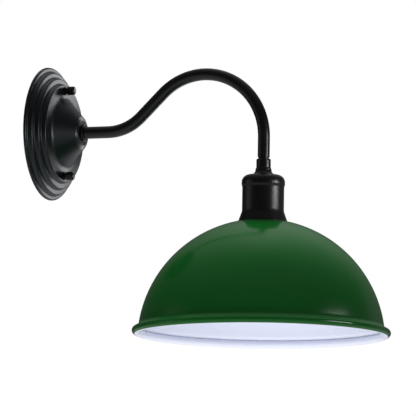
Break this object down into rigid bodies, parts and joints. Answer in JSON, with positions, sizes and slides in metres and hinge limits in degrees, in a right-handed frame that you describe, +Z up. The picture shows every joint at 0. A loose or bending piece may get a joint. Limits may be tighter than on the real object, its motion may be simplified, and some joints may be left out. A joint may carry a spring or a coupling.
{
  "type": "gooseneck wall sconce",
  "caption": "Gooseneck wall sconce: a round stepped wall plate, a bent tube arm, a lampholder cup and an enamelled dome shade with a rolled rim, mouth down.",
  "frame": {"origin": "centre of the wall plate's back, on the wall, midway between the two slots of the strap", "axes": "+X out of the wall, +Z up, the lamp hangs on the vertical line X = 271 mm, Y = 0"},
  "size_m": [0.4212, 0.3004, 0.321],
  "materials": {
    "black_enamel": "satin",
    "zinc_steel": "bright zinc",
    "brass": "plain",
    "green_enamel": "gloss",
    "black_plastic": "moulded",
    "ceramic_body": "fired",
    "natural_plastic": "moulded",
    "brown_insulation": "plain",
    "blue_insulation": "plain",
    "green_insulation": "plain"
  },
  "bodies": {
    "fixture": {"arm_tube": "black_enamel", "block_screw": "zinc_steel", "canopy": "black_enamel", "canopy_studs": "zinc_steel", "contact_strip": "brass", "cup_lock_washer": "zinc_steel", "cup_locknut": "zinc_steel", "earth_ring_terminal": "brass", "earth_screw": "zinc_steel", "earth_washer": "zinc_steel", "earth_wire": "green_insulation", "end_coupler": "black_enamel", "end_nipple": "zinc_steel", "holder_cup": "black_enamel", "holder_grub_screw": "zinc_steel", "holder_terminal_screws": "brass", "holder_terminals": "brass", "insert_screws": "zinc_steel", "lampholder_cap": "black_plastic", "lampholder_insert": "ceramic_body", "lampholder_skirt": "black_plastic", "live_wire": "brown_insulation", "neutral_wire": "blue_insulation", "root_collar": "black_enamel", "root_lock_washer": "zinc_steel", "root_locknut": "zinc_steel", "root_nipple": "zinc_steel", "screw_shell": "brass", "stud_locknuts": "zinc_steel", "terminal_block": "natural_plastic", "terminal_inserts": "brass", "terminal_screws": "zinc_steel", "wall_bracket": "zinc_steel", "wire_bush": "black_plastic"},
    "shade": {"shade": "green_enamel"},
    "ring": {"shade_ring": "black_plastic"},
    "upper_collar": {"upper_captive_washer": "black_enamel"},
    "upper_nut": {"upper_cap_nut": "black_enamel"},
    "lower_collar": {"lower_captive_washer": "black_enamel"},
    "lower_nut": {"lower_cap_nut": "black_enamel"},
    "contact": {"centre_contact": "brass"}
  },
  "joints": [
    {"name": "shade_drop", "type": "slide", "parent": "fixture", "child": "shade", "axis": [0, 0, -1], "range_m": [0, 0.008]},
    {"name": "ring_turn", "type": "hinge", "parent": "shade", "child": "ring", "pos_m": [0.271, 0, -0.1151], "axis": [0, 0, -1], "range_deg": [0, 1440]},
    {"name": "upper_washer_slide", "type": "slide", "parent": "fixture", "child": "upper_collar", "axis": [1, 0, 0], "range_m": [0, 0.006]},
    {"name": "upper_nut_turn", "type": "hinge", "parent": "upper_collar", "child": "upper_nut", "pos_m": [0.024, 0, 0.05], "axis": [1, 0, 0], "range_deg": [0, 2700]},
    {"name": "lower_washer_slide", "type": "slide", "parent": "fixture", "child": "lower_collar", "axis": [1, 0, 0], "range_m": [0, 0.006]},
    {"name": "lower_nut_turn", "type": "hinge", "parent": "lower_collar", "child": "lower_nut", "pos_m": [0.024, 0, -0.05], "axis": [1, 0, 0], "range_deg": [0, 2700]},
    {"name": "contact_flex", "type": "hinge", "parent": "fixture", "child": "contact", "pos_m": [0.271, 0.0038, -0.09085], "axis": [-1, 0, 0], "range_deg": [0, 14], "stiffness_Nm_per_rad": 0.05}
  ],
  "couplings": [
    {"joint": "ring_turn", "follows": "shade_drop", "rad_per_m": 3141.6},
    {"joint": "upper_nut_turn", "follows": "upper_washer_slide", "rad_per_m": 7854},
    {"joint": "lower_nut_turn", "follows": "lower_washer_slide", "rad_per_m": 7854}
  ]
}
